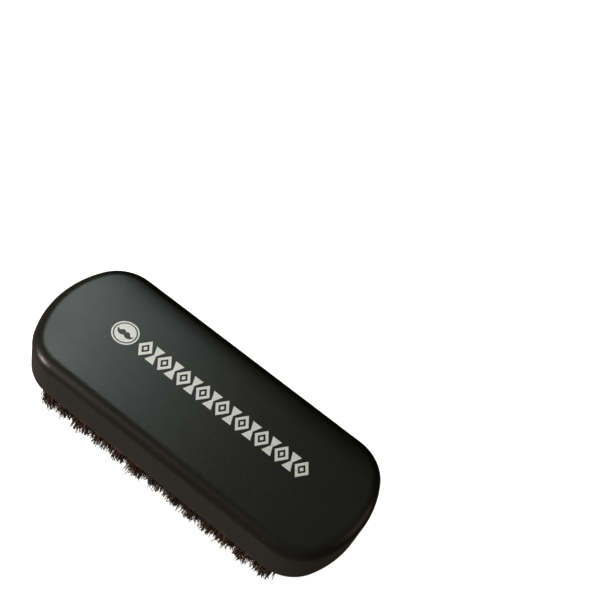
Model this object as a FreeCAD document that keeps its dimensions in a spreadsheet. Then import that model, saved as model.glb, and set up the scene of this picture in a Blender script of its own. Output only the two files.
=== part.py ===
import FreeCAD, Part
import Sketcher
import math
import os

# Beard brush: a lacquered wooden block set with staggered rows of boar bristle tufts.
# Each tuft is a bundle of hairs bent double round a flat wire anchor at the bottom of its
# own blind hole. The block's top face is stamped with a foil badge and a foil band.
#
# Frame: X along the brush, Y across it, Z up. The bristle tips stand on Z = 0 and the
# origin is below the middle of the block. Lengths are in millimetres, angles in degrees.

SIZES = {
    # wooden block
    "block_length": 115.9,
    "block_width": 46.7,
    "block_thickness": 15.5,
    "end_radius": 33.7,
    "corner_radius": 14.4,
    "side_draft": 2.5,
    "top_round": 3.6,
    "bottom_round": 0.6,
    # tuft layout: long and short rows take turns along the brush, with a shorter one at each end
    "row_pitch": 7.0,
    "long_rows": 7,
    "long_row_tufts": 6,
    "long_row_pitch": 6.6,
    "short_rows": 6,
    "short_row_tufts": 5,
    "short_row_pitch": 7.8,
    "end_rows": 2,
    "end_row_tufts": 3,
    "end_row_pitch": 7.6,
    # tuft holes, with the grooves that the anchors cut into their walls
    "hole_radius": 2.0,
    "hole_depth": 8.5,
    "groove_length": 4.9,
    "groove_width": 0.4,
    # bristle tufts
    "bristle_length": 12.8,
    "root_radius": 1.95,
    "root_gap": 0.1,
    "flare_start": 0.3,
    "tip_radius": 3.0,
    "tip_bevel": 0.4,
    # flat wire anchors
    "anchor_length": 4.8,
    "anchor_thickness": 0.36,
    "anchor_height": 1.7,
    "anchor_cover": 0.9,
    "anchor_bevel": 0.3,
    # stamped foil, which fills its own recess in the top face
    "stamp_depth": 0.08,
    "ornament_y": 1.6,
    "badge_x": -33.4,
    "badge_radius": 4.3,
    "badge_rim": 0.5,
    "badge_gap": 0.4,
    "band_x": -25.5,
    "motif_pitch": 7.4,
    "lozenge_count": 9,
    "lozenge_width": 5.0,
    "lozenge_height": 6.9,
    "lozenge_hole": 0.56,
    "lozenge_core": 0.26,
    "hourglass_width": 3.3,
    "hourglass_height": 6.0,
    "hourglass_waist": 0.7,
}

doc = FreeCAD.newDocument("beard_brush")
sheet = doc.addObject("Spreadsheet::Sheet", "sizes")
for line, (alias, value) in enumerate(SIZES.items(), start=1):
    sheet.set(f"A{line}", alias)
    sheet.set(f"B{line}", str(value))
    sheet.setAlias(f"B{line}", alias)
doc.recompute()

# Sketcher's numbers for the points of a piece of geometry, and for the sketch's X axis
START, END, CENTRE = 1, 2, 3
X_AXIS = -1
SKETCH_ORIGIN = (-1, 1)
UP = FreeCAD.Vector(0, 0, 1)


# ------------------------------------------------------------------------- sketches


def value_of(expression):
    """What an expression of the sheet's cells comes to."""
    return float(sheet.evalExpression(expression))


def sketch_point(x, y):
    """The point of a sketch whose two coordinates are expressions."""
    return FreeCAD.Vector(value_of(x), value_of(y), 0)


def drive(sketch, kind, where, expression):
    """A driving dimension that follows the sheet."""
    index = sketch.addConstraint(Sketcher.Constraint(kind, *where, value_of(expression)))
    sketch.setExpression(f"Constraints[{index}]", expression)


def place_point(sketch, where, x, y):
    """Holds one point of the sketch at x, y from the sketch's origin."""
    drive(sketch, "DistanceX", (*SKETCH_ORIGIN, *where), x)
    drive(sketch, "DistanceY", (*SKETCH_ORIGIN, *where), y)


def draw_circle(sketch, x, y, radius):
    circle = Part.Circle(sketch_point(x, y), UP, value_of(radius))
    index = sketch.addGeometry(circle)
    drive(sketch, "Radius", (index,), radius)
    place_point(sketch, (index, CENTRE), x, y)


def draw_polygon(sketch, corners):
    """A closed run of straight lines through corners, each a pair of expressions."""
    first = sketch.GeometryCount
    for at, (corner, following) in enumerate(zip(corners, corners[1:] + corners[:1])):
        sketch.addGeometry(Part.LineSegment(sketch_point(*corner), sketch_point(*following)))
        place_point(sketch, (first + at, START), *corner)
    for at in range(len(corners)):
        after = (at + 1) % len(corners)
        sketch.addConstraint(
            Sketcher.Constraint("Coincident", first + at, END, first + after, START)
        )


def draw_rectangle(sketch, x, y, width, height):
    """A rectangle with its middle at x, y."""
    sides = [(-1, -1), (1, -1), (1, 1), (-1, 1)]
    corners = [(f"{x} + {i} * {width} / 2", f"{y} + {j} * {height} / 2") for i, j in sides]
    draw_polygon(sketch, corners)


def draw_lozenge(sketch, x, y, width, height):
    """A diamond with its middle at x, y."""
    points = [(1, 0), (0, 1), (-1, 0), (0, -1)]
    corners = [(f"{x} + {i} * {width} / 2", f"{y} + {j} * {height} / 2") for i, j in points]
    draw_polygon(sketch, corners)


def draw_hourglass(sketch, x, y, width, height, waist):
    """An upright hourglass with its waist at x, y."""
    right = [
        (f"{x} + {width} / 2", f"{y} - {height} / 2"),
        (f"{x} + {waist} / 2", y),
        (f"{x} + {width} / 2", f"{y} + {height} / 2"),
    ]
    left = [
        (f"{x} - {width} / 2", f"{y} + {height} / 2"),
        (f"{x} - {waist} / 2", y),
        (f"{x} - {width} / 2", f"{y} - {height} / 2"),
    ]
    draw_polygon(sketch, right + left)


def draw_outline(sketch):
    """The block's plan: straight sides, bowed ends and round corners, all tangent."""
    half_length, half_width = value_of("sizes.block_length / 2"), value_of("sizes.block_width / 2")
    end, corner = value_of("sizes.end_radius"), value_of("sizes.corner_radius")
    end_x = half_length - end
    corner_y = half_width - corner
    turn = math.asin(corner_y / (end - corner))
    corner_x = end_x + (end - corner) * math.cos(turn)

    def arc(x, y, radius, start, stop):
        circle = Part.Circle(FreeCAD.Vector(x, y, 0), UP, radius)
        sketch.addGeometry(Part.ArcOfCircle(circle, start, stop))

    def side(x, y):
        sketch.addGeometry(Part.LineSegment(FreeCAD.Vector(x, y, 0), FreeCAD.Vector(-x, y, 0)))

    half_turn = math.pi
    arc(end_x, 0, end, -turn, turn)
    arc(corner_x, corner_y, corner, turn, half_turn / 2)
    side(corner_x, half_width)
    arc(-corner_x, corner_y, corner, half_turn / 2, half_turn - turn)
    arc(-end_x, 0, end, half_turn - turn, half_turn + turn)
    arc(-corner_x, -corner_y, corner, half_turn + turn, 1.5 * half_turn)
    side(-corner_x, -half_width)
    arc(corner_x, -corner_y, corner, 1.5 * half_turn, 2 * half_turn - turn)

    right_end, back_side, left_end, front_side = 0, 2, 4, 6
    corners = (1, 3, 5, 7)
    for piece in range(8):
        sketch.addConstraint(Sketcher.Constraint("Tangent", piece, END, (piece + 1) % 8, START))
    for straight in (back_side, front_side):
        sketch.addConstraint(Sketcher.Constraint("Horizontal", straight))
    for bow in (right_end, left_end):
        sketch.addConstraint(Sketcher.Constraint("PointOnObject", bow, CENTRE, X_AXIS))
        drive(sketch, "Radius", (bow,), "sizes.end_radius")
    for bend in corners:
        drive(sketch, "Radius", (bend,), "sizes.corner_radius")
    to_end = "sizes.block_length / 2 - sizes.end_radius"
    drive(sketch, "DistanceX", (*SKETCH_ORIGIN, right_end, CENTRE), to_end)
    drive(sketch, "DistanceX", (left_end, CENTRE, *SKETCH_ORIGIN), to_end)
    drive(sketch, "DistanceY", (*SKETCH_ORIGIN, back_side, START), "sizes.block_width / 2")
    drive(sketch, "DistanceY", (front_side, START, *SKETCH_ORIGIN), "sizes.block_width / 2")


def draw_moustache(sketch):
    """A moustache in the middle of the badge, drawn in parts of the badge's radius."""
    radius = value_of("sizes.badge_radius")
    middle = sketch_point("sizes.badge_x", "sizes.ornament_y")
    dip, turn_up, tip, chin = (0, 0.06), (0.38, 0.05), (0.66, 0.20), (0, -0.20)
    over_lip, in_curl, under_lip = (0.18, 0.19), (0.55, 0.0), (0.40, -0.30)
    right_half = [(dip, over_lip, turn_up), (turn_up, in_curl, tip), (tip, under_lip, chin)]
    for mirror in (1, -1):
        for bend in right_half:
            points = [
                middle + FreeCAD.Vector(mirror * x * radius, y * radius, 0) for x, y in bend
            ]
            index = sketch.addGeometry(Part.Arc(*points))
            sketch.addConstraint(Sketcher.Constraint("Block", index))


# ------------------------------------------------------------- bodies and features


def new_body(label):
    """An empty body, which may hold several solids side by side."""
    body = doc.addObject("PartDesign::Body", label)
    body.Label = label
    body.AllowCompound = True
    return body


def origin_feature(body, role):
    """The body's own plane or axis with this role."""
    return next(feature for feature in body.Origin.OriginFeatures if feature.Role == role)


def new_sketch(body, name, role="XY_Plane", height=None):
    """A sketch on one of the body's origin planes, lifted to a height from the sheet."""
    sketch = body.newObject("Sketcher::SketchObject", name)
    sketch.AttachmentSupport = [(origin_feature(body, role), "")]
    sketch.MapMode = "FlatFace"
    if height:
        sketch.setExpression("AttachmentOffset.Base.z", height)
    return sketch


def extrude(body, kind, sketch, length, downwards):
    """A Pad or a Pocket that goes up or down from its sketch."""
    feature = body.newObject(f"PartDesign::{kind}", f"{sketch.Name}_{kind.lower()}")
    feature.Profile = sketch
    feature.setExpression("Length", length)
    # a Pad runs up from its sketch unless reversed, and a Pocket runs down from it
    feature.Reversed = downwards if kind == "Pad" else not downwards
    return feature


def repeat(body, name, originals, role, spacing, count):
    """A row of copies of the originals along one of the body's axes."""
    pattern = body.newObject("PartDesign::LinearPattern", name)
    pattern.Originals = originals
    pattern.Direction = (origin_feature(body, role), [""])
    pattern.Mode = "Spacing"
    pattern.setExpression("Offset", spacing)
    pattern.setExpression("Occurrences", count)
    return pattern


def dress(body, kind, name, base, edges, size):
    """A Fillet or a Chamfer on the edges of the base feature."""
    feature = body.newObject(f"PartDesign::{kind}", name)
    feature.Base = (base, edges)
    feature.setExpression("Radius" if kind == "Fillet" else "Size", size)
    return feature


def edges_at(shape, z):
    """The names of the edges that lie flat at this height."""
    names = []
    for number, edge in enumerate(shape.Edges, start=1):
        box = edge.BoundBox
        if abs(box.ZMin - z) < 1e-4 and abs(box.ZMax - z) < 1e-4:
            names.append(f"Edge{number}")
    return names


# ------------------------------------------------------------------ heights and rows

TOP = "sizes.bristle_length + sizes.block_thickness"
HOLE_MOUTH = "sizes.bristle_length"
HOLE_BOTTOM = "sizes.bristle_length + sizes.hole_depth"
ANCHOR_TOP = f"{HOLE_BOTTOM} - sizes.anchor_cover"
ANCHOR_BOTTOM = f"{ANCHOR_TOP} - sizes.anchor_height"


class Grid:
    """The rows across the brush that have the same number of tufts."""

    def __init__(self, name, row_spacing):
        self.name = name
        self.rows = f"sizes.{name}_rows"
        self.tufts = f"sizes.{name}_row_tufts"
        self.tuft_pitch = f"sizes.{name}_row_pitch"
        self.row_spacing = row_spacing
        self.first_x = f"-({self.rows} - 1) * {row_spacing} / 2"
        self.first_y = f"-({self.tufts} - 1) * {self.tuft_pitch} / 2"


SHORT = Grid("short", "2 * sizes.row_pitch")
LONG = Grid("long", "2 * sizes.row_pitch")
OUTERMOST = Grid("end", "(sizes.short_rows + sizes.long_rows + 1) * sizes.row_pitch")


# ------------------------------------------------------------------------ the stamp


def stamp_badge(body, kind):
    """A rim round a disc with a moustache left out: a Pocket in the block, a Pad as the foil."""
    badge = new_sketch(body, "badge", height=TOP)
    rim_inside = "sizes.badge_radius - sizes.badge_rim"
    for radius in ("sizes.badge_radius", rim_inside, f"{rim_inside} - sizes.badge_gap"):
        draw_circle(badge, "sizes.badge_x", "sizes.ornament_y", radius)
    draw_moustache(badge)
    return extrude(body, kind, badge, "sizes.stamp_depth", downwards=True)


def stamp_band(body, kind):
    """Lozenges with hourglasses between them: Pockets in the block, Pads as the foil."""
    lozenge = new_sketch(body, "lozenge", height=TOP)
    middle = ("sizes.band_x", "sizes.ornament_y")
    for share in ("1", "sizes.lozenge_hole", "sizes.lozenge_core"):
        size = (f"{share} * sizes.lozenge_width", f"{share} * sizes.lozenge_height")
        draw_lozenge(lozenge, *middle, *size)
    stamped = extrude(body, kind, lozenge, "sizes.stamp_depth", downwards=True)
    pitch, count = "sizes.motif_pitch", "sizes.lozenge_count"
    lozenges = repeat(body, "lozenges", [stamped], "X_Axis", pitch, count)
    body.Tip = lozenges

    hourglass = new_sketch(body, "hourglass", height=TOP)
    between = ("sizes.band_x + sizes.motif_pitch / 2", "sizes.ornament_y")
    size = ("sizes.hourglass_width", "sizes.hourglass_height", "sizes.hourglass_waist")
    draw_hourglass(hourglass, *between, *size)
    stamped = extrude(body, kind, hourglass, "sizes.stamp_depth", downwards=True)
    return repeat(body, "hourglasses", [stamped], "X_Axis", pitch, f"{count} - 1")


# ------------------------------------------------------------------------ sub-parts


def make_block():
    """The wooden block: a drafted slab with soft edges, blind tuft holes and the stamp's recess."""
    body = new_body("handle_block")
    outline = new_sketch(body, "outline", height=TOP)
    draw_outline(outline)
    blank = extrude(body, "Pad", outline, "sizes.block_thickness", downwards=True)
    blank.setExpression("TaperAngle", "-sizes.side_draft")
    doc.recompute()
    top_edges = edges_at(blank.Shape, value_of(TOP))
    soft_top = dress(body, "Fillet", "top_round", blank, top_edges, "sizes.top_round")
    doc.recompute()
    low_edges = edges_at(soft_top.Shape, value_of(HOLE_MOUTH))
    blank = dress(body, "Fillet", "bottom_round", soft_top, low_edges, "sizes.bottom_round")
    doc.recompute()

    for grid in (OUTERMOST, SHORT, LONG):
        hole = new_sketch(body, f"{grid.name}_hole", height=HOLE_MOUTH)
        draw_circle(hole, grid.first_x, grid.first_y, "sizes.hole_radius")
        drilled = extrude(body, "Pocket", hole, "sizes.hole_depth", downwards=False)
        groove = new_sketch(body, f"{grid.name}_groove", height=HOLE_MOUTH)
        size = ("sizes.groove_length", "sizes.groove_width")
        draw_rectangle(groove, grid.first_x, grid.first_y, *size)
        groove_depth = "sizes.hole_depth - sizes.anchor_cover"
        scored = extrude(body, "Pocket", groove, groove_depth, downwards=False)
        holes = repeat(
            body, f"{grid.name}_holes", [drilled, scored], "X_Axis", grid.row_spacing, grid.rows
        )
        holes.Direction2 = (origin_feature(body, "Y_Axis"), [""])
        holes.Mode2 = "Spacing"
        holes.setExpression("Offset2", grid.tuft_pitch)
        holes.setExpression("Occurrences2", grid.tufts)
        body.Tip = holes
        doc.recompute()

    stamp_badge(body, "Pocket")
    body.Tip = stamp_band(body, "Pocket")
    return body


def make_foil_badge():
    body = new_body("foil_badge")
    body.Tip = stamp_badge(body, "Pad")
    return body


def make_foil_band():
    body = new_body("foil_band")
    body.Tip = stamp_band(body, "Pad")
    return body


def stand_row(body, first, x, grid):
    """Repeats a row's first piece across the brush and stands the row at x."""
    body.Tip = repeat(body, "row", first, "Y_Axis", grid.tuft_pitch, grid.tufts)
    body.setExpression("Placement.Base.x", x)
    body.setExpression("Placement.Base.y", grid.first_y)


def make_bristle_row(label, x, grid):
    """A row of tufts: each is straight in its hole, flares to its tips and is slit for its anchor."""
    body = new_body(label)
    profile = new_sketch(body, "profile", role="XZ_Plane")
    mouth = f"{HOLE_MOUTH} - sizes.flare_start"
    root = f"{HOLE_BOTTOM} - sizes.root_gap"
    corners = [
        ("0", "0"),
        ("sizes.tip_radius - sizes.tip_bevel", "0"),
        ("sizes.tip_radius", "sizes.tip_bevel"),
        ("sizes.root_radius", mouth),
        ("sizes.root_radius", root),
        ("0", root),
    ]
    draw_polygon(profile, corners)
    tuft = body.newObject("PartDesign::Revolution", "tuft")
    tuft.Profile = profile
    tuft.ReferenceAxis = (profile, ["V_Axis"])
    slit = new_sketch(body, "slit", height=ANCHOR_BOTTOM)
    draw_rectangle(slit, "0", "0", "sizes.groove_length", "sizes.groove_width")
    parted = extrude(body, "Pocket", slit, "sizes.anchor_height", downwards=False)
    stand_row(body, [tuft, parted], x, grid)
    return body


def make_anchor_row(label, x, grid):
    """A row of flat wire anchors, one across each tuft, with their leading corners bevelled."""
    body = new_body(label)
    face = new_sketch(body, "face", role="XZ_Plane")
    right = [
        ("sizes.anchor_length / 2", ANCHOR_BOTTOM),
        ("sizes.anchor_length / 2", f"{ANCHOR_TOP} - sizes.anchor_bevel"),
        ("sizes.anchor_length / 2 - sizes.anchor_bevel", ANCHOR_TOP),
    ]
    left = [(f"-({x_side})", z) for x_side, z in reversed(right)]
    draw_polygon(face, right + left)
    wire = body.newObject("PartDesign::Pad", "wire")
    wire.Profile = face
    wire.SideType = "Symmetric"
    wire.setExpression("Length", "sizes.anchor_thickness")
    stand_row(body, [wire], x, grid)
    return body


def make_rows():
    """Rows of tufts and anchors from the -X end to the +X end, long and short in turn."""
    rows = []
    count = int(value_of("sizes.short_rows + sizes.long_rows + sizes.end_rows"))
    for number in range(count):
        grid = LONG if number % 2 else SHORT
        if number in (0, count - 1):
            grid = OUTERMOST
        x = f"{OUTERMOST.first_x} + {number} * sizes.row_pitch"
        rows.append(make_bristle_row(f"bristle_row_{number + 1:02d}", x, grid))
        rows.append(make_anchor_row(f"anchor_row_{number + 1:02d}", x, grid))
    return rows


parts = [make_block(), make_foil_badge(), make_foil_band()] + make_rows()
doc.recompute()

# ----------------------------------------------------------------- checks and files

for item in doc.Objects:
    if "Invalid" in item.State or "Error" in item.State:
        raise RuntimeError(f"{item.Name} failed: {item.State}")
for part in parts:
    if part.Shape.isNull() or not part.Shape.isValid():
        raise RuntimeError(f"{part.Label} has no valid shape")

os.makedirs("parts", exist_ok=True)
for part in parts:
    part.Shape.exportStep(f"parts/{part.Label}.step")
    box = part.Shape.optimalBoundingBox(False)
    print(
        f"{part.Label}: {len(part.Shape.Solids)} solids, volume {part.Shape.Volume:.1f},"
        f" x {box.XMin:.2f} to {box.XMax:.2f}, y {box.YMin:.2f} to {box.YMax:.2f},"
        f" z {box.ZMin:.2f} to {box.ZMax:.2f}"
    )
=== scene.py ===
import math

import bpy
import numpy as np
from mathutils import Matrix, Vector


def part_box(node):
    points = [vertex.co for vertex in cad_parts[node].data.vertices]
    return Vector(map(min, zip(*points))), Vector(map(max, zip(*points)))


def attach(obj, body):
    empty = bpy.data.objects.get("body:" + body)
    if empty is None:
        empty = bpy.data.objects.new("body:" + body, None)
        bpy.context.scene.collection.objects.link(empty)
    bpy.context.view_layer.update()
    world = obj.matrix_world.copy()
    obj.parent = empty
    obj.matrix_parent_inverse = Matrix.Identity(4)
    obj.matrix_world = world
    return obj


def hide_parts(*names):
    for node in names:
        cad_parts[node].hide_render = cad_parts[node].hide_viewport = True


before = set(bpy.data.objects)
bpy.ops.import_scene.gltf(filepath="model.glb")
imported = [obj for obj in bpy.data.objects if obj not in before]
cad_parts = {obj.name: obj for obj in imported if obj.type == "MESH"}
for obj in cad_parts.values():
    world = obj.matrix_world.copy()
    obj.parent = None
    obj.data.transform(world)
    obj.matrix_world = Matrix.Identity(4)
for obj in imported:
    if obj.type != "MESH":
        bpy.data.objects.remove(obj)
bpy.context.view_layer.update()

# Looks of a beard brush: black satin lacquer over close-grained wood, a hot-stamped foil
# ornament, and tufts of boar bristle made hair by hair. Lengths are in metres, and the scale
# of a noise is in lumps per metre.

MM = 0.001
SEED = 7

block_low, block_high = (Vector(corner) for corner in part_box("handle_block"))
BLOCK_BOTTOM, BLOCK_TOP = block_low.z, block_high.z
ANCHOR_BOTTOM, ANCHOR_TOP = (corner[2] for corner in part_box("anchor_row_01"))
end_row_low, end_row_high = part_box("bristle_row_01")
TUFT_ROOT = end_row_high[2]
TIP_RADIUS = (end_row_high[0] - end_row_low[0]) / 2
HOLE_RADIUS = 2.0 * MM
ROWS = [name for name in sorted(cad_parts) if name.startswith("bristle_row_")]
LONG_ROW, SHORT_ROW, END_ROW = 6, 5, 3  # tufts


# ---------------------------------------------------------------------- node helpers


class Nodes:
    """A node tree that ends in a shader, with short calls for the nodes that it needs."""

    def __init__(self, owner, shader):
        owner.use_nodes = True
        self.tree = owner.node_tree
        self.shader = self.tree.nodes[shader]

    def new(self, kind, **settings):
        node = self.tree.nodes.new(kind)
        for key, value in settings.items():
            setattr(node, key, value)
        return node

    def link(self, output, target):
        self.tree.links.new(output, target)

    def feed(self, output, socket):
        """Link to one of the shader's sockets."""
        self.link(output, self.shader.inputs[socket])

    def set(self, socket, value):
        self.shader.inputs[socket].default_value = value

    def place(self, scale=(1, 1, 1)):
        """The object's own coordinates, stretched by a scale."""
        coordinates = self.new("ShaderNodeTexCoord")
        mapping = self.new("ShaderNodeMapping")
        mapping.inputs["Scale"].default_value = scale
        self.link(coordinates.outputs["Object"], mapping.inputs["Vector"])
        return mapping.outputs["Vector"]

    def split(self, vector):
        """A vector's X, Y and Z."""
        node = self.new("ShaderNodeSeparateXYZ")
        self.link(vector, node.inputs[0])
        return node.outputs

    def noise(self, place, scale, detail=3.0, distortion=0.0):
        node = self.new("ShaderNodeTexNoise")
        node.inputs["Scale"].default_value = scale
        node.inputs["Detail"].default_value = detail
        node.inputs["Roughness"].default_value = 0.55
        node.inputs["Distortion"].default_value = distortion
        self.link(place, node.inputs["Vector"])
        return node.outputs["Fac"]

    def ramp(self, value, low, high, out_low=0.0, out_high=1.0):
        """value between low and high, spread over out_low to out_high and held there."""
        node = self.new("ShaderNodeMapRange", interpolation_type="SMOOTHSTEP")
        names = ("From Min", "From Max", "To Min", "To Max")
        for socket, number in zip(names, (low, high, out_low, out_high)):
            node.inputs[socket].default_value = number
        self.link(value, node.inputs["Value"])
        return node.outputs["Result"]

    def colours(self, value, stops):
        """A colour ramp: stops are (position, (red, green, blue))."""
        node = self.new("ShaderNodeValToRGB")
        elements = node.color_ramp.elements
        while len(elements) < len(stops):
            elements.new(0.5)
        for element, (position, colour) in zip(elements, stops):
            element.position = position
            element.color = (*colour, 1.0)
        self.link(value, node.inputs["Fac"])
        return node.outputs["Color"]

    def mix(self, factor, first, second):
        """Two colours, each a tuple or a node's output."""
        node = self.new("ShaderNodeMix", data_type="RGBA")
        self.link(factor, node.inputs["Factor"])
        for source, socket in ((first, node.inputs[6]), (second, node.inputs[7])):
            if isinstance(source, tuple):
                socket.default_value = (*source, 1.0)
            else:
                self.link(source, socket)
        return node.outputs[2]

    def math(self, operation, first, second):
        """Two numbers, each a number or a node's output, with the result held in 0 to 1."""
        node = self.new("ShaderNodeMath", operation=operation, use_clamp=True)
        for source, socket in ((first, node.inputs[0]), (second, node.inputs[1])):
            if isinstance(source, (int, float)):
                socket.default_value = source
            else:
                self.link(source, socket)
        return node.outputs[0]

    def bump(self, height, strength, distance, under=None):
        node = self.new("ShaderNodeBump")
        node.inputs["Strength"].default_value = strength
        node.inputs["Distance"].default_value = distance
        self.link(height, node.inputs["Height"])
        if under is not None:
            self.link(under, node.inputs["Normal"])
        self.feed(node.outputs["Normal"], "Normal")
        return node.outputs["Normal"]


class Paint(Nodes):
    """A new material."""

    def __init__(self, name):
        self.material = bpy.data.materials.new(name)
        super().__init__(self.material, "Principled BSDF")


# ------------------------------------------------------------------------- materials


def black_lacquer():
    """Satin black lacquer on close-grained wood, tan and fibrous in patches along its lower edge."""
    m = Paint("black_wood")
    long_grain = m.place((0.10, 1.0, 1.0))
    fibres = m.noise(long_grain, 2600, detail=4)
    figure = m.noise(long_grain, 420, detail=3, distortion=0.6)
    smudges = m.noise(m.place(), 60, detail=2)

    wood = m.colours(figure, [(0.25, (0.0068, 0.0066, 0.0058)), (0.75, (0.0098, 0.0093, 0.0080))])
    # a tan, fibrous colour that shows in patches along the block's lower edge
    fibrous_tan = m.colours(fibres, [(0.3, (0.10, 0.055, 0.030)), (0.7, (0.26, 0.16, 0.09))])
    height = m.split(m.place())["Z"]
    low_edge = m.ramp(height, BLOCK_BOTTOM + 0.30 * MM, BLOCK_BOTTOM + 1.10 * MM, 1.0, 0.0)
    patchy = m.ramp(m.noise(m.place(), 380, detail=4), 0.48, 0.60)
    tan_edge_patches = m.math("MULTIPLY", low_edge, patchy)
    dust = m.ramp(m.noise(m.place(), 1700, detail=1), 0.74, 0.78, 0.0, 0.35)
    dusty = m.mix(dust, wood, (0.16, 0.15, 0.13))
    m.feed(m.mix(tan_edge_patches, dusty, fibrous_tan), "Base Color")

    m.feed(m.ramp(smudges, 0.3, 0.7, 0.345, 0.375), "Roughness")
    m.set("Specular IOR Level", 0.30)
    orange_peel = m.bump(m.noise(m.place(), 1300, detail=4), 0.55, 0.06 * MM)
    m.bump(fibres, 0.35, 0.05 * MM, under=orange_peel)
    return m.material


def stamped_foil():
    """Off-white hot-stamped foil, rubbed a little on the wood's fibres."""
    m = Paint("print_foil")
    fibres = m.noise(m.place((0.25, 1.0, 1.0)), 3200, detail=4)
    patches = m.noise(m.place(), 500, detail=3)
    rubbed = m.math("MULTIPLY", m.ramp(fibres, 0.60, 0.74), m.ramp(patches, 0.45, 0.65))
    clean = m.colours(patches, [(0.3, (0.84, 0.84, 0.82)), (0.7, (0.93, 0.93, 0.91))])
    m.feed(m.mix(rubbed, clean, (0.20, 0.19, 0.18)), "Base Color")
    m.feed(m.ramp(patches, 0.3, 0.7, 0.38, 0.55), "Roughness")
    m.bump(fibres, 0.15, 0.03 * MM)
    return m.material


def boar_hair():
    """Dark brown boar hair: each hair has a shade of its own and pales towards its tip."""
    m = Paint("bristle")
    shade = m.new("ShaderNodeAttribute", attribute_name="shade").outputs["Fac"]
    stops = [
        (0.00, (0.011, 0.0045, 0.0045)),
        (0.35, (0.034, 0.015, 0.012)),
        (0.70, (0.120, 0.060, 0.040)),
        (1.00, (0.420, 0.250, 0.140)),
    ]
    scales = m.noise(m.place((1.0, 1.0, 0.3)), 2500, detail=2)
    mottled = m.math("ADD", shade, m.ramp(scales, 0.3, 0.7, -0.06, 0.06))
    m.feed(m.colours(mottled, stops), "Base Color")
    m.feed(m.ramp(scales, 0.3, 0.7, 0.34, 0.48), "Roughness")
    m.set("Specular IOR Level", 0.45)
    m.bump(scales, 0.2, 0.02 * MM)
    return m.material


def anchor_steel():
    """Drawn flat wire with fine lines along it."""
    m = Paint("anchor_wire")
    lines = m.noise(m.place((0.05, 1.0, 1.0)), 6000, detail=3)
    m.feed(m.colours(lines, [(0.3, (0.34, 0.33, 0.31)), (0.7, (0.52, 0.51, 0.49))]), "Base Color")
    m.feed(m.ramp(lines, 0.3, 0.7, 0.28, 0.44), "Roughness")
    m.set("Metallic", 1.0)
    m.bump(lines, 0.2, 0.02 * MM)
    return m.material


PAINTED_SHADOW_LENGTH, PAINTED_SHADOW_WIDTH, PAINTED_SHADOW_CORNER = 88 * MM, 34 * MM, 8 * MM  # painted shadow on the floor, under the bristles
PAINTED_SHADOW_EDGE = 0.6 * MM
PAINTED_SHADOW_COLOUR = (0.110, 0.068, 0.052)
LIGHT_TABLE = 0.92


def paper_floor():
    """White paper on a light table, with a painted shadow, dark brown and unlit, where the brush's
    bristles stand.
    """
    m = Paint("floor_paper")
    position = m.split(m.place())
    beyond = []
    for axis, half_length in (("X", PAINTED_SHADOW_LENGTH / 2), ("Y", PAINTED_SHADOW_WIDTH / 2)):
        away = m.new("ShaderNodeMath", operation="ABSOLUTE")
        m.link(position[axis], away.inputs[0])
        beyond.append(m.math("SUBTRACT", away.outputs[0], half_length - PAINTED_SHADOW_CORNER))
    squares = [m.math("MULTIPLY", side, side) for side in beyond]
    distance = m.math("POWER", m.math("ADD", *squares), 0.5)
    outside_painted_shadow = m.ramp(distance, PAINTED_SHADOW_CORNER - PAINTED_SHADOW_EDGE, PAINTED_SHADOW_CORNER + PAINTED_SHADOW_EDGE)
    grain = m.noise(m.place(), 900, detail=3)
    paper = m.colours(grain, [(0.2, (0.78, 0.78, 0.775)), (0.8, (0.82, 0.82, 0.815))])
    # painted shadow: dark brown and without glow in a rounded oblong under the brush, glowing paper
    # outside it
    m.feed(m.mix(outside_painted_shadow, PAINTED_SHADOW_COLOUR, paper), "Base Color")
    m.feed(m.math("MULTIPLY", outside_painted_shadow, LIGHT_TABLE), "Emission Strength")
    m.set("Emission Color", (1.0, 1.0, 0.99, 1.0))
    m.set("Roughness", 0.9)
    m.set("Specular IOR Level", 0.1)
    return m.material


def black_card():
    """Matt black card that hardly reflects."""
    m = Paint("flag_black")
    grain = m.noise(m.place(), 900, detail=3)
    card = m.colours(grain, [(0.2, (0.004, 0.004, 0.004)), (0.8, (0.008, 0.008, 0.008))])
    m.feed(card, "Base Color")
    m.set("Roughness", 0.9)
    m.set("Specular IOR Level", 0.0)
    return m.material


def paint(name, material):
    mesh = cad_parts[name].data
    mesh.materials.clear()
    mesh.materials.append(material)


# --------------------------------------------------------------------------- bristles

HAIRS = 140  # bent hairs in a tuft, each of which shows twice
FREE_STEPS = 7  # points along the free part of a hair, from its tip to the hole's mouth
SIDES = 3
HAIR_RADIUS = 0.16 * MM
TIP_THINNING = 0.20  # share of its radius that a hair loses at its tip
TIP_PALING = 0.10  # how much its shade rises there

SPREAD = TIP_RADIUS - 1.10 * MM  # how far the outermost tips move outwards from the hole's mouth
SPREAD_SHARE = (0.7, 1.40)
FAN = (1.35, 0.85)  # tips spread further along the brush than across it
WANDER, BOW, WAVE = 0.34 * MM, 0.32 * MM, 0.17 * MM  # of a tip, and of a hair's middle
STRAYS, STRAY_WANDER = 0.03, 2.2  # share of the hairs, and times the others' wander
TRIM, TRIM_WANDER = 0.12 * MM, 0.25 * MM  # height of the tips above the floor
SHORT_HAIRS, SHORT_BY = 0.25, (0.3, 1.8)  # share of the hairs, and millimetres
CURVE = 0.75  # under 1, hairs move outwards sooner than a straight one

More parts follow.
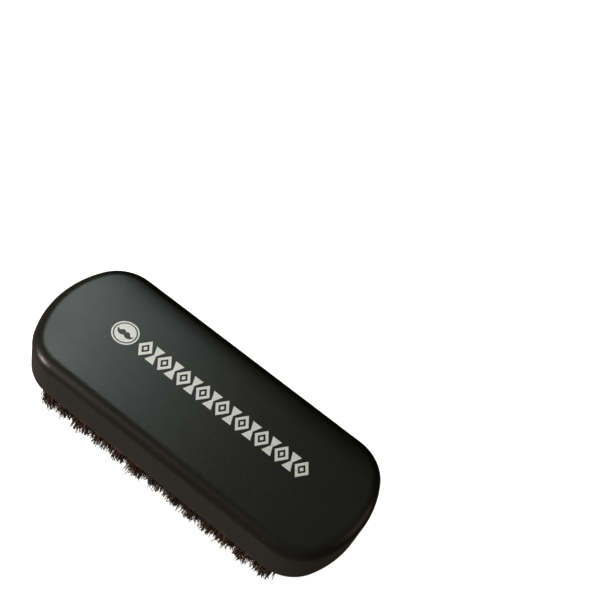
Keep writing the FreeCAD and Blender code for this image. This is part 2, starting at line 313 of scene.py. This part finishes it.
LOCKS = 9  # places in a tuft that its tips gather at
LOCK_REACH, LOCK_PULL = (0.35, 1.05), (0.0, 0.34)
FAN_OUT = 1.4  # tip against mouth, when a hair chooses its nearest lock
MOUTH_FILL, ANCHOR_GAP = 0.93, 0.1 * MM
BENDS = (0.02, 0.75)  # where hairs bend, as shares of the way from the anchor to the hole's end
TUFT_LEAN, TUFT_SHADE = 0.22 * MM, 0.06  # how much tufts differ
HAIR_SHADES = (1.7, 2.6)  # of a beta distribution, so most hairs are dark and a few pale
COMBED_AT = (-43, -36, -21, 0, 44)  # places along the brush, and how far the tips there lean
COMBED_BY = (0.5, -2.0, -1.9, -0.7, -1.3)
LONG_SPLAY, SHORT_SPLAY = 0.05 * MM, 0.7 * MM  # how far a row's outer tufts lean outwards


def free_part(rng, root, lean, lock):
    """Points from a hair's tip up to the hole's mouth, for hairs that leave the mouth at root."""
    count = len(root)
    outward = root / HOLE_RADIUS
    spread = outward * SPREAD * rng.uniform(*SPREAD_SHARE, (count, 1)) * FAN
    stray = rng.random((count, 1)) < STRAYS
    wander = rng.normal(0, WANDER, (count, 2)) * np.where(stray, STRAY_WANDER, 1.0)
    tip = root + spread + lean + wander
    tip += (lock - tip) * rng.uniform(*LOCK_PULL, (count, 1)) * ~stray
    cut_short = np.where(rng.random(count) < SHORT_HAIRS, rng.uniform(*SHORT_BY, count), 0) * MM
    trim = TRIM + np.abs(rng.normal(0, TRIM_WANDER, count)) + cut_short
    bow = rng.normal(0, BOW, (count, 2))
    wave = rng.normal(0, WAVE, (count, 2))

    points = np.empty((count, FREE_STEPS, 3))
    for step in range(FREE_STEPS):
        along = 1 - step / FREE_STEPS  # 1 at the tip, nearing 0 at the mouth
        flat = root + (tip - root) * along**CURVE
        flat += bow * math.sin(math.pi * along) + wave * math.sin(3 * math.pi * along)
        points[:, step, :2] = flat
        points[:, step, 2] = BLOCK_BOTTOM + (trim - BLOCK_BOTTOM) * along
    return points


def tuft_paths(rng, lean):
    """One tuft's hairs about the origin: down one side, over the anchor and down the other."""
    def mouth_points(side):
        radius = MOUTH_FILL * HOLE_RADIUS * np.sqrt(rng.uniform(0.01, 1, HAIRS))
        angle = rng.uniform(0.06, 0.94, HAIRS) * math.pi
        return np.stack([radius * np.cos(angle), side * (radius * np.sin(angle) + ANCHOR_GAP)], 1)

    lock_angle = rng.uniform(0, 2 * math.pi, LOCKS)
    lock_reach = rng.uniform(*LOCK_REACH, LOCKS) * TIP_RADIUS
    locks = np.stack([lock_reach * np.cos(lock_angle), lock_reach * np.sin(lock_angle)], 1) + lean
    halves = []
    for side in (1, -1):
        root = mouth_points(side)
        to_lock = np.linalg.norm(root[:, None] * FAN_OUT + lean - locks[None], axis=2)
        halves.append((root, free_part(rng, root, lean, locks[np.argmin(to_lock, axis=1)])))
    (root_a, free_a), (root_b, free_b) = halves

    middle_x = (root_a[:, 0] + root_b[:, 0]) / 2
    above_anchor = rng.uniform(*BENDS, HAIRS) * (TUFT_ROOT - ANCHOR_TOP)
    bend_height = ANCHOR_TOP + HAIR_RADIUS + above_anchor

    def stand(root, z):
        return np.stack([root[:, 0], root[:, 1], np.full(HAIRS, z)], 1)[:, None]

    def over(root):
        return np.stack([middle_x, root[:, 1] * 0.5, bend_height], 1)[:, None]

    shoulder = (ANCHOR_BOTTOM + ANCHOR_TOP) / 2
    up = [free_a, stand(root_a, BLOCK_BOTTOM), stand(root_a, shoulder), over(root_a)]
    down = [over(root_b), stand(root_b, shoulder), stand(root_b, BLOCK_BOTTOM), free_b[:, ::-1]]
    return np.concatenate(up + down, axis=1)


def tube_mesh(name, paths, shades):
    """Three-sided tubes along the paths, thin at both ends and closed there."""
    count, steps = paths.shape[:2]
    tangent = np.gradient(paths, axis=1)
    tangent /= np.linalg.norm(tangent, axis=2, keepdims=True)
    across = np.cross(tangent, [1.0, 0.0, 0.0])
    across /= np.linalg.norm(across, axis=2, keepdims=True)
    beside = np.cross(tangent, across)
    end_distance = np.minimum(np.arange(steps), np.arange(steps)[::-1]) / FREE_STEPS
    radius = HAIR_RADIUS * (1 - TIP_THINNING + TIP_THINNING * np.clip(end_distance, 0, 1))
    rings = []
    for side in range(SIDES):
        angle = 2 * math.pi * side / SIDES
        offset = across * math.cos(angle) + beside * math.sin(angle)
        rings.append(paths + offset * radius[None, :, None])
    vertices = np.stack(rings, axis=2).reshape(-1, 3)

    start = (np.arange(count) * steps * SIDES)[:, None, None]
    ring = (np.arange(steps - 1) * SIDES)[None, :, None]
    here = np.arange(SIDES)[None, None, :]
    following = (here + 1) % SIDES
    low, high = start + ring, start + ring + SIDES
    quads = np.stack([low + here, low + following, high + following, high + here], axis=-1)
    first = start[:, 0, 0]
    last = first + (steps - 1) * SIDES
    caps = np.concatenate([
        np.stack([first + 2, first + 1, first], axis=1),
        np.stack([last, last + 1, last + 2], axis=1),
    ])
    mesh = bpy.data.meshes.new(name)
    mesh.from_pydata(vertices.tolist(), [], quads.reshape(-1, 4).tolist() + caps.tolist())
    mesh.shade_smooth()

    pale = np.clip(1 - end_distance, 0, 1) ** 2 * TIP_PALING
    values = np.clip(shades[:, None] + pale[None, :], 0, 1)
    colours = np.ones((count, steps, SIDES, 4))
    colours[..., :3] = values[:, :, None, None]
    attribute = mesh.color_attributes.new("shade", "FLOAT_COLOR", "POINT")
    attribute.data.foreach_set("color", colours.ravel())
    return mesh


def bristle_row(row, node, material):
    """The tufts of one row as one piece, hair by hair."""
    low, high = (Vector(corner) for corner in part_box(node))
    x = (low.x + high.x) / 2
    first_y, last_y = low.y + TIP_RADIUS, high.y - TIP_RADIUS
    tufts, splay = (SHORT_ROW, SHORT_SPLAY) if row % 2 else (LONG_ROW, LONG_SPLAY)
    if row in (1, len(ROWS)):
        tufts = END_ROW
    rng = np.random.default_rng(SEED * 100 + row)
    combed = np.interp(x / MM, COMBED_AT, COMBED_BY) * MM
    paths, shades = [], []
    for y in np.linspace(first_y, last_y, tufts):
        lean = rng.normal(0, TUFT_LEAN, 2) + [combed, splay * y / last_y]
        paths.append(tuft_paths(rng, lean) + [x, y, 0])
        hair_shades = rng.beta(*HAIR_SHADES, HAIRS) + rng.normal(0, TUFT_SHADE)
        shades.append(np.clip(hair_shades, 0, 1))
    mesh = tube_mesh(f"boar_bristle_{row:02d}", np.concatenate(paths), np.concatenate(shades))
    mesh.materials.append(material)
    piece = bpy.data.objects.new(mesh.name, mesh)
    bpy.context.scene.collection.objects.link(piece)
    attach(piece, "root")
    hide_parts(node)


# ---------------------------------------------------------------- stage, light, camera

FLOOR_SIZE = 6.0
FLAG_X, FLAG_LENGTH, FLAG_GAP = 4 * MM, 142 * MM, 1.5 * MM
FLAG_BOTTOM, FLAG_TOP = 26 * MM, 42.5 * MM

FRONT = (-0.3, -0.9, 0.0)
TABLE_IN_FRONT, TABLE_BEHIND = (0.30, 0.26, 0.205), (0.060, 0.046, 0.036)
ROOM = (0.255, 0.262, 0.235)

LEFT_END, MIDDLE = (block_low.x, 0, BLOCK_TOP), (0, 0, 0)
SOFTBOXES = (
    # name, place, aim, size, power, colour
    ("sheen_wide", (-0.172, 0.168, 0.311), LEFT_END, 0.14, 0.205, (0.90, 1.0, 0.96)),
    ("sheen_near", (-0.1405, 0.084, 0.220), LEFT_END, 0.06, 0.125, (0.88, 1.0, 0.96)),
    ("low_left", (-0.132, -0.119, 0.0535), LEFT_END, 0.037, 0.19, (1.0, 0.83, 0.79)),
    ("warm_front", (-0.30, -0.42, 0.38), MIDDLE, 0.35, 0.40, (1.0, 0.88, 0.80)),
    ("warm_right", (0.50, 0.28, 0.17), MIDDLE, 0.30, 0.28, (1.0, 0.76, 0.58)),
)

CAMERA_PLACE = (0.07675, -0.18485, 0.34135)
CAMERA_RIGHT, CAMERA_UP = (0.78703, 0.57293, 0.22874), (-0.58361, 0.57129, 0.57709)
CAMERA_LENS = 75.4


def stage_plane(name, size, material):
    bpy.ops.mesh.primitive_plane_add(size=size, location=(0, 0, 0))
    plane = bpy.context.object
    plane.name = name
    plane.data.materials.append(material)
    return plane


def floor():
    """The floor, which doesn't show in the lacquer: the sky's dark table does."""
    plane = stage_plane("floor", FLOOR_SIZE, paper_floor())
    plane.visible_glossy = False
    plane.visible_diffuse = False


def flag():
    """A low black card close behind the brush, unseen, that keeps light off the top's back edge."""
    card = stage_plane("flag", 1.0, black_card())
    card.scale = (FLAG_LENGTH, FLAG_TOP - FLAG_BOTTOM, 1.0)
    card.rotation_euler.x = math.pi / 2
    card.location = (FLAG_X, block_high.y + FLAG_GAP, (FLAG_TOP + FLAG_BOTTOM) / 2)
    card.visible_camera = False


def softbox(name, place, aim, size, power, colour):
    """A square area light that faces a point."""
    data = bpy.data.lights.new(name, "AREA")
    data.shape = "SQUARE"
    data.size = size
    data.energy = power
    data.color = colour
    lamp = bpy.data.objects.new(name, data)
    lamp.location = place
    lamp.rotation_euler = (Vector(place) - Vector(aim)).to_track_quat("Z", "Y").to_euler()
    bpy.context.scene.collection.objects.link(lamp)


def sky():
    """A dim studio over a darker table, which is brighter in front of the brush than behind."""
    world = bpy.data.worlds.new("studio")
    m = Nodes(world, "Background")
    direction = m.new("ShaderNodeTexCoord").outputs["Generated"]
    towards_front = m.new("ShaderNodeVectorMath", operation="DOT_PRODUCT")
    towards_front.inputs[1].default_value = FRONT
    m.link(direction, towards_front.inputs[0])
    in_front = m.ramp(towards_front.outputs["Value"], -0.5, 0.6)
    table = m.mix(in_front, TABLE_BEHIND, TABLE_IN_FRONT)
    overhead = m.ramp(m.split(direction)["Z"], 0.50, 0.85)
    m.feed(m.mix(overhead, table, ROOM), "Color")
    bpy.context.scene.world = world


def camera():
    """The view from above the brush's near side, rolled so that the brush runs downhill."""
    data = bpy.data.cameras.new("camera")
    data.lens = CAMERA_LENS
    data.clip_start = 0.01
    view = bpy.data.objects.new("camera", data)
    right, up = Vector(CAMERA_RIGHT), Vector(CAMERA_UP)
    turn = Matrix((right, up, right.cross(up))).transposed()
    view.matrix_world = Matrix.Translation(CAMERA_PLACE) @ turn.to_4x4()
    bpy.context.scene.collection.objects.link(view)
    bpy.context.scene.camera = view


camera()
sky()
for box in SOFTBOXES:
    softbox(*box)
floor()
flag()

paint("handle_block", black_lacquer())
foil = stamped_foil()
for name in ("foil_badge", "foil_band"):
    paint(name, foil)
steel = anchor_steel()
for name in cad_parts:
    if name.startswith("anchor_row_"):
        paint(name, steel)
hair = boar_hair()
for row, node in enumerate(ROWS, start=1):
    bristle_row(row, node, hair)

bpy.context.scene.view_settings.view_transform = "Standard"
